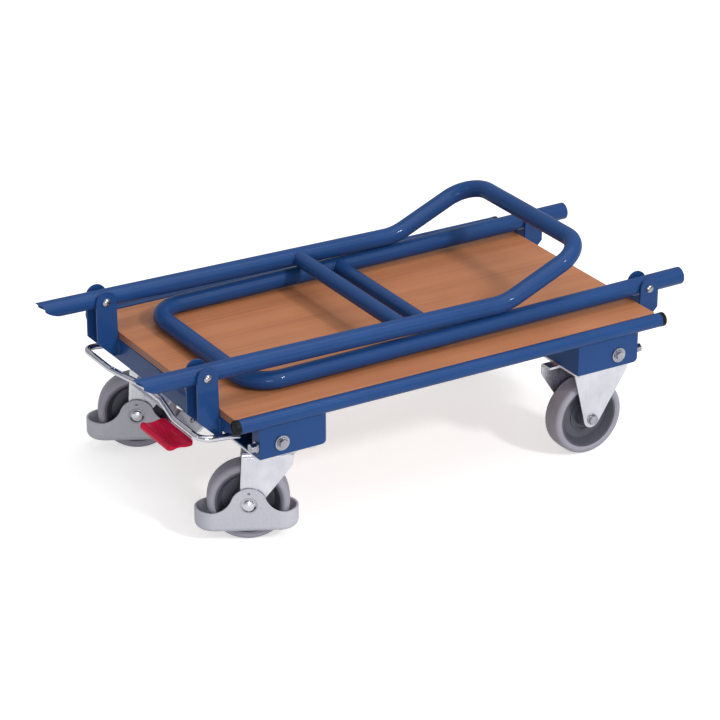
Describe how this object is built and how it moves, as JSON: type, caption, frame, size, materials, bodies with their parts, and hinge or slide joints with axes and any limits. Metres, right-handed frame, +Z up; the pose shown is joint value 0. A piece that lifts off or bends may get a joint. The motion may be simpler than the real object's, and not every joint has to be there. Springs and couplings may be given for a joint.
{
  "type": "folding platform trolley",
  "caption": "Platform trolley with folding tube handles laid flat over a wooden deck, swivel castors with foot guards at the front, rigid castors at the rear and a brake pedal.",
  "frame": {"origin": "on the floor, under the middle of the platform", "axes": "+X along the platform to the rigid castors at the rear, +Y to the far side, +Z up"},
  "size_m": [0.9692, 0.4993, 0.3527],
  "materials": {
    "blue_paint": "smooth gloss powder coat, gentian blue",
    "deck_board": "beech decor on board, satin, fine grain along the length",
    "end_cap": "matt black moulded",
    "bright_zinc": "bright zinc plated",
    "wheel_hub": "dark grey moulded",
    "tyre": "grey non-marking solid rubber",
    "foot_guard": "light grey moulded, fine texture",
    "pedal": "red moulded, slightly glossy"
  },
  "bodies": {
    "chassis": {"box_end_bolts": "bright_zinc", "box_side_bolts": "bright_zinc", "box_side_nuts": "bright_zinc", "box_side_washers": "bright_zinc", "brake_bracket": "bright_zinc", "castor_box_front_far": "blue_paint", "castor_box_front_near": "blue_paint", "castor_box_rear_far": "blue_paint", "castor_box_rear_near": "blue_paint", "castor_plate_bolts": "bright_zinc", "castor_plate_nuts": "bright_zinc", "deck_board": "deck_board", "end_angle_front": "blue_paint", "end_angle_rear": "blue_paint", "handle_post_front_far": "blue_paint", "handle_post_front_near": "blue_paint", "handle_post_rear_far": "blue_paint", "handle_post_rear_near": "blue_paint", "kingpin_far": "bright_zinc", "kingpin_near": "bright_zinc", "pivot_bolts": "bright_zinc", "pivot_nuts": "bright_zinc", "rigid_axle_bolts": "bright_zinc", "rigid_axle_nuts": "bright_zinc", "rigid_axle_tubes": "bright_zinc", "rigid_fork_far": "bright_zinc", "rigid_fork_near": "bright_zinc", "side_tube_far": "blue_paint", "side_tube_near": "blue_paint", "swivel_plate_far": "bright_zinc", "swivel_plate_near": "bright_zinc", "tube_end_caps": "end_cap"},
    "upper_handle": {"upper_handle_tube": "blue_paint", "upper_handle_crossbar": "blue_paint"},
    "lower_handle": {"lower_handle_tube": "blue_paint", "lower_handle_crossbar": "blue_paint"},
    "lock_bail": {"lock_bail": "bright_zinc"},
    "brake_pedal": {"brake_shaft": "bright_zinc", "pedal_lever": "bright_zinc", "brake_pedal": "pedal"},
    "swivel_near": {"swivel_fork_near": "bright_zinc", "foot_guard_near": "foot_guard", "swivel_axle_bolt_near": "bright_zinc", "swivel_axle_nut_near": "bright_zinc", "swivel_axle_tube_near": "bright_zinc"},
    "wheel_front_near": {"wheel_hub_front_near": "wheel_hub", "tyre_front_near": "tyre"},
    "wheel_rear_near": {"wheel_hub_rear_near": "wheel_hub", "tyre_rear_near": "tyre"},
    "brake_plunger_near": {"brake_plunger_near": "bright_zinc"},
    "swivel_far": {"swivel_fork_far": "bright_zinc", "foot_guard_far": "foot_guard", "swivel_axle_bolt_far": "bright_zinc", "swivel_axle_nut_far": "bright_zinc", "swivel_axle_tube_far": "bright_zinc"},
    "wheel_front_far": {"wheel_hub_front_far": "wheel_hub", "tyre_front_far": "tyre"},
    "wheel_rear_far": {"wheel_hub_rear_far": "wheel_hub", "tyre_rear_far": "tyre"},
    "brake_plunger_far": {"brake_plunger_far": "bright_zinc"}
  },
  "joints": [
    {"name": "upper_handle_fold", "type": "hinge", "parent": "chassis", "child": "upper_handle", "pos_m": [-0.3944, 0, 0.282], "axis": [0, -1, 0], "range_deg": [0, 90.7]},
    {"name": "lower_handle_fold", "type": "hinge", "parent": "chassis", "child": "lower_handle", "pos_m": [0.3944, 0, 0.2495], "axis": [0, 1, 0], "range_deg": [0, 90.5]},
    {"name": "lock_bail_swing", "type": "hinge", "parent": "chassis", "child": "lock_bail", "pos_m": [-0.304, 0, 0.18], "axis": [0, -1, 0], "range_deg": [0, 14]},
    {"name": "brake_pedal_press", "type": "hinge", "parent": "chassis", "child": "brake_pedal", "pos_m": [-0.252, 0, 0.178], "axis": [0, -1, 0], "range_deg": [0, 8.5]},
    {"name": "swivel_near_turn", "type": "hinge", "parent": "chassis", "child": "swivel_near", "pos_m": [-0.285, -0.1805, 0.15], "axis": [0, 0, 1], "continuous": true},
    {"name": "wheel_front_near_spin", "type": "hinge", "parent": "swivel_near", "child": "wheel_front_near", "pos_m": [-0.32032, -0.16172, 0.0625], "axis": [0.4695, 0.8829, 0], "continuous": true},
    {"name": "wheel_rear_near_spin", "type": "hinge", "parent": "chassis", "child": "wheel_rear_near", "pos_m": [0.2735, -0.1805, 0.0625], "axis": [0, 1, 0], "continuous": true},
    {"name": "brake_plunger_near_slide", "type": "slide", "parent": "chassis", "child": "brake_plunger_near", "axis": [0, 0, -1], "range_m": [0, 0.005]},
    {"name": "swivel_far_turn", "type": "hinge", "parent": "chassis", "child": "swivel_far", "pos_m": [-0.285, 0.1805, 0.15], "axis": [0, 0, 1], "continuous": true},
    {"name": "wheel_front_far_spin", "type": "hinge", "parent": "swivel_far", "child": "wheel_front_far", "pos_m": [-0.32032, 0.19928, 0.0625], "axis": [0.4695, 0.8829, 0], "continuous": true},
    {"name": "wheel_rear_far_spin", "type": "hinge", "parent": "chassis", "child": "wheel_rear_far", "pos_m": [0.2735, 0.1805, 0.0625], "axis": [0, 1, 0], "continuous": true},
    {"name": "brake_plunger_far_slide", "type": "slide", "parent": "chassis", "child": "brake_plunger_far", "axis": [0, 0, -1], "range_m": [0, 0.005]}
  ],
  "couplings": [
    {"joint": "lower_handle_fold", "follows": "upper_handle_fold", "ratio": 0.115},
    {"joint": "lock_bail_swing", "follows": "upper_handle_fold", "ratio": 0.15},
    {"joint": "brake_plunger_near_slide", "follows": "brake_pedal_press", "m_per_rad": 0.033},
    {"joint": "brake_plunger_far_slide", "follows": "brake_pedal_press", "m_per_rad": 0.033}
  ]
}
